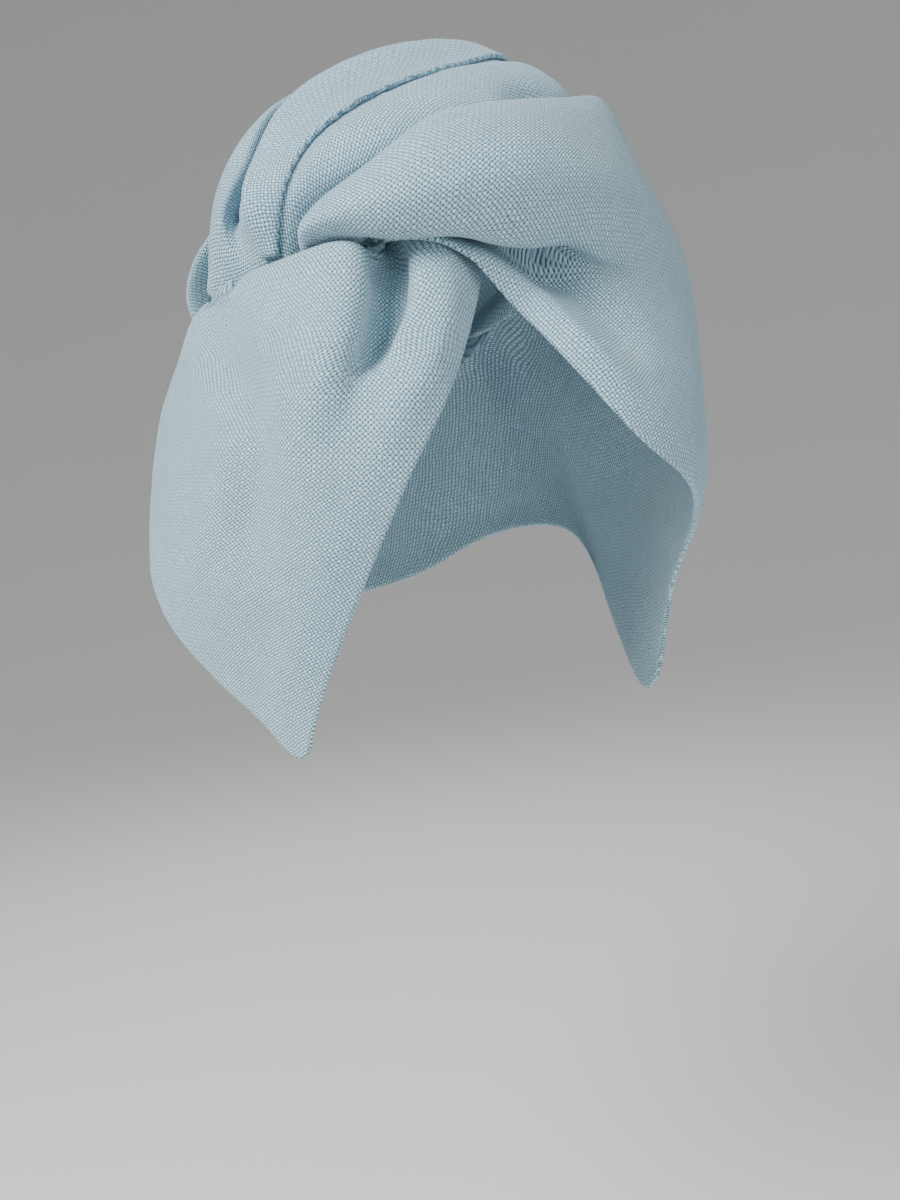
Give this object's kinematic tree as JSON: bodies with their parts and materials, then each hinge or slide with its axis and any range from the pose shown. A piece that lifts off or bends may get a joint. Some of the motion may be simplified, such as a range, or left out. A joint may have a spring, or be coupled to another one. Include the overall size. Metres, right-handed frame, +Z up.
{
  "type": "hair towel wrap",
  "caption": "Linen head wrap with a puffed hood, a twist folded over the forehead and a pleated tail looped over a nape button.",
  "frame": {"origin": "the crown seat: the point of the hollow where the top of the wearer's head comes to", "axes": "+Z up, the face looks towards -Y, +X is the wearer's left"},
  "size_m": [0.2038, 0.2315, 0.2537],
  "materials": {
    "linen": "matte blue-grey plain weave linen with slubs",
    "button": "oiled turned wood",
    "loop_cord": "matte covered elastic cord"
  },
  "bodies": {
    "root": {"hood_right": "linen", "hood_left": "linen", "front_twist": "linen", "crown_tail": "linen", "tail_welt": "linen", "nape_button": "button", "button_loop": "loop_cord"}
  },
  "joints": []
}
